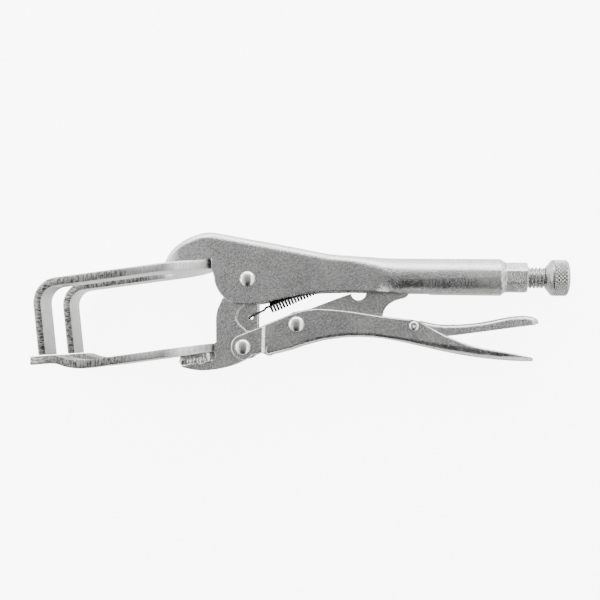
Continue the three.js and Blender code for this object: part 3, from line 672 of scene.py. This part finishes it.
def return_spring():
    """An extension spring: hook in the jaw's tab, close coil, hook on the handle's lanced tab."""
    hook = from_pivot(*SPRING_HOOK)
    tab = from_pivot(*SPRING_TAB)
    start = from_pivot(*COIL_FRONT)
    along = (tab - start).normalized()
    end = tab - along * COIL_BACK_GAP
    across = Vector((0, 0, 1))
    up = across.cross(along)
    leg = [hook + Vector(place) * MM for place in LEG_BY_HOLE]
    leg += [start + (along * a + up * b + across * c) * MM for a, b, c in LEG_BY_COIL]
    path = []
    for first, second in zip(leg, leg[1:]):
        path += [first.lerp(second, t / LEG_STEPS) for t in range(LEG_STEPS)]
    coil_steps = COIL_TURNS * TURN_STEPS
    length = (end - start).length
    for k in range(coil_steps + 1):
        angle = 2 * math.pi * k / TURN_STEPS + math.pi / 2
        turns_from_end = min(k, coil_steps - k) / TURN_STEPS
        grow = min(1.0, COIL_END_SHARE + turns_from_end)
        offset = COIL_RADIUS * grow * (math.cos(angle) * across + math.sin(angle) * up)
        path.append(start + along * length * (k / coil_steps) + offset)
    eye_root = end + along * EYE_ROOT
    for t in range(LEG_STEPS):
        path.append(path[-1].lerp(eye_root, (t + 1) / LEG_STEPS))
    eye = end + along * EYE_CENTRE
    for i in range(EYE_STEPS + 1):
        angle = math.pi * (0.15 + 1.5 * i / EYE_STEPS)
        path.append(eye + EYE_RADIUS * (up * math.sin(angle) - along * math.cos(angle)))
    piece = swept_wire("return_spring_wire", path, WIRE)
    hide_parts("return_spring")
    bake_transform(piece)


return_spring()


# ---- weld beads -------------------------------------------------------------
BEAD_DROPS = 8
BEAD_FOOT = 0.26            # height of the row's first end and its rise, as shares of the bead's height
BEAD_RISE = 0.44
DROP_RADIUS = 0.98          # of half the bead's thickness
DROP_SQUASH = (1.2, 1.55, 0.98)
DROP_SPREAD = 0.2           # by which a drop's radius and its height vary
BEAD_FINENESS = 0.18 * MM
BEAD_RIPPLE = 0.3 * MM
RIPPLES_PER_METRE = 700


def weld_bead(node, name, seed):
    """A rising row of overlapping drops, fused and rippled."""
    rng = random.Random(seed)
    lowest, highest = low(node), high(node)
    size = highest - lowest
    bm = bmesh.new()
    for i in range(BEAD_DROPS):
        share = (i + 0.5) / BEAD_DROPS
        centre = lowest + Vector((size.x * share, size.y * (BEAD_FOOT + BEAD_RISE * share), size.z / 2))
        radius = size.z / 2 * (DROP_RADIUS + DROP_SPREAD * rng.random())
        drop = bmesh.ops.create_icosphere(bm, subdivisions=3, radius=radius)
        squash = Vector(DROP_SQUASH) + Vector((0, DROP_SPREAD * rng.random(), 0))
        for vert in drop["verts"]:
            vert.co = Vector(a * b for a, b in zip(vert.co, squash)) + centre
    piece = new_piece(name, mesh_from(bm, name), "weld")
    remesh = piece.modifiers.new("fuse", "REMESH")
    remesh.mode = "VOXEL"
    remesh.voxel_size = BEAD_FINENESS
    relax = piece.modifiers.new("relax", "SMOOTH")
    relax.iterations = 4
    evaluated = piece.evaluated_get(bpy.context.evaluated_depsgraph_get())
    fused = bpy.data.meshes.new_from_object(evaluated)
    piece.modifiers.clear()
    fused.materials.clear()
    fused.materials.append(FINISH["weld"])
    piece.data = fused
    for vert in fused.vertices:
        vert.co += vert.normal * BEAD_RIPPLE * noise.noise(vert.co * RIPPLES_PER_METRE)
    for face in fused.polygons:
        face.use_smooth = True
    stand_for(piece, node)


weld_bead("lower_jaw_weld_left", "lower_jaw_bead_left", 3)
weld_bead("lower_jaw_weld_right", "lower_jaw_bead_right", 7)


# ---- camera, floor and light ------------------------------------------------
CAMERA_PLACE = Vector((0.0452, -0.0137, 0.365))
CAMERA_AIM = Vector((0.0004, 0.0012, MID_Z))
CAMERA_LENS = 46.32         # on a sensor 36 mm wide
CAMERA_ROLL = math.radians(1.05)


def add_camera():
    """Looks down on the flat of the tool from over the knob's half, with the tool a degree off level."""
    data = bpy.data.cameras.new("camera")
    data.sensor_width = 36.0
    data.lens = CAMERA_LENS
    camera = bpy.data.objects.new("camera", data)
    forward = (CAMERA_AIM - CAMERA_PLACE).normalized()
    right = forward.cross(Vector((-math.sin(CAMERA_ROLL), math.cos(CAMERA_ROLL), 0))).normalized()
    up = right.cross(forward)
    turn = Matrix((right, up, -forward)).transposed()
    camera.matrix_world = Matrix.Translation(CAMERA_PLACE) @ turn.to_4x4()
    bpy.context.scene.collection.objects.link(camera)
    bpy.context.scene.camera = camera


add_camera()


FLOOR_WHITE = 7.0           # light of the floor as the camera sees it
FLOOR_SIZE = 8.0
# painted reflection: the floor's glow that the tool picks up, from the lower handle's side to the upper handle's;
# its dark stripe paints shade on the upper handle's barrel, and its bright parts light the lower handle's rim
FLOOR_SPAN = 0.25           # m to each side of the tool over which that light changes
FLOOR_LIGHT = ((0.0, 1.0), (0.30, 0.9), (0.40, 0.10), (0.46, 0.08), (0.52, 0.9), (0.72, 1.6), (1.0, 2.2))


def add_floor():
    """A wide pale sheet, tilted so that the forks' sides and the knob rest on it; it glows evenly white to the
    camera, and with a graded painted reflection in what the tool reflects.
    """
    fork_rest = Vector((low("upper_fork_jaw").x + 56 * MM, 0, low("upper_fork_jaw").z))
    knob_rest = Vector((high("adjusting_screw").x - 4 * MM, 0, low("adjusting_screw").z))
    tilt = math.atan2(knob_rest.z - fork_rest.z, knob_rest.x - fork_rest.x)
    bpy.ops.mesh.primitive_plane_add(size=FLOOR_SIZE)
    floor = bpy.context.object
    floor.name = "floor"
    floor.rotation_euler = (0, -tilt, 0)
    floor.location = fork_rest
    n = Nodes("floor")
    paper = n.noise(900, 2.0)
    n.link(n.mix(paper, (0.90, 0.90, 0.90), (0.94, 0.94, 0.94)), n.shader.inputs["Base Color"])
    n.shader.inputs["Roughness"].default_value = 0.9
    n.shader.inputs["Emission Strength"].default_value = 1.0
    split = n.new("ShaderNodeSeparateXYZ")
    n.link(n.place, split.inputs["Vector"])
    across = n.range(split.outputs["Y"], 0.0, 1.0, -FLOOR_SPAN, FLOOR_SPAN)
    lit = n.ramp(across, [(place, (level, level, level)) for place, level in FLOOR_LIGHT])
    # painted reflection: rays other than the camera's see the graded glow, which paints the barrel's lower band
    # dark and the lower handle's rim bright
    seen = n.new("ShaderNodeLightPath").outputs["Is Camera Ray"]
    n.link(n.mix(seen, lit, (FLOOR_WHITE, FLOOR_WHITE, FLOOR_WHITE)), n.shader.inputs["Emission Color"])
    floor.data.materials.append(n.material)


add_floor()


def add_area(name, place, size, power):
    """A rectangular lamp aimed at the tool's middle."""
    data = bpy.data.lights.new(name, "AREA")
    data.shape = "RECTANGLE"
    data.size, data.size_y = size
    data.energy = power
    light = bpy.data.objects.new(name, data)
    light.location = place
    light.rotation_euler = (-Vector(place)).to_track_quat("-Z", "Y").to_euler()
    bpy.context.scene.collection.objects.link(light)


add_area("upper_handle_side", (0.0, 0.75, 0.35), (1.2, 0.5), 10)
add_area("jaw_side", (-0.8, 0.1, 0.4), (0.8, 0.5), 5)


# the room's light by direction: (part of the unit direction along the axis, level)
ROOM_BY_Y = (
    (-1.0, 0.02), (-0.55, 0.03), (-0.35, 0.12), (-0.15, 0.27), (0.12, 0.36), (0.3, 0.5), (0.55, 1.0),
    (1.0, 2.0),
)
ROOM_BY_X = ((-1.0, 1.5), (-0.6, 1.2), (-0.36, 0.0), (0.3, 0.0), (0.42, 2.6), (0.75, 2.4), (1.0, 0.8))


def add_world():
    """Soft room: bright towards the upper handle, the jaws and the knob, grey overhead, dark elsewhere."""
    world = bpy.data.worlds.new("studio")
    bpy.context.scene.world = world
    world.use_nodes = True
    tree = world.node_tree
    background = tree.nodes["Background"]
    background.inputs["Strength"].default_value = 1.0
    coordinates = tree.nodes.new("ShaderNodeTexCoord")
    split = tree.nodes.new("ShaderNodeSeparateXYZ")
    tree.links.new(coordinates.outputs["Generated"], split.inputs["Vector"])

    def graded(output, stops):
        shift = tree.nodes.new("ShaderNodeMapRange")
        shift.inputs["From Min"].default_value = -1.0
        ramp = tree.nodes.new("ShaderNodeValToRGB")
        while len(ramp.color_ramp.elements) < len(stops):
            ramp.color_ramp.elements.new(0.5)
        for element, (place, level) in zip(ramp.color_ramp.elements, stops):
            element.position = (place + 1) / 2
            element.color = (level, level, level, 1)
        tree.links.new(output, shift.inputs["Value"])
        tree.links.new(shift.outputs["Result"], ramp.inputs["Fac"])
        return ramp.outputs["Color"]

    by_y = graded(split.outputs["Y"], ROOM_BY_Y)
    by_x = graded(split.outputs["X"], ROOM_BY_X)
    total = tree.nodes.new("ShaderNodeMix")
    total.data_type = "RGBA"
    total.blend_type = "ADD"
    total.inputs["Factor"].default_value = 1.0
    tree.links.new(by_y, total.inputs[6])
    tree.links.new(by_x, total.inputs[7])
    tree.links.new(total.outputs[2], background.inputs["Color"])


add_world()

# ---- close ------------------------------------------------------------------
# the CAD nodes that are shown as they are take their slot's finish
for name, node in NODES.items():
    if not node.data.materials or node.data.materials[0] is None:
        node.data.materials.append(FINISH[SLOT_OF[name]])
    else:
        node.data.materials[0] = FINISH[SLOT_OF[name]]
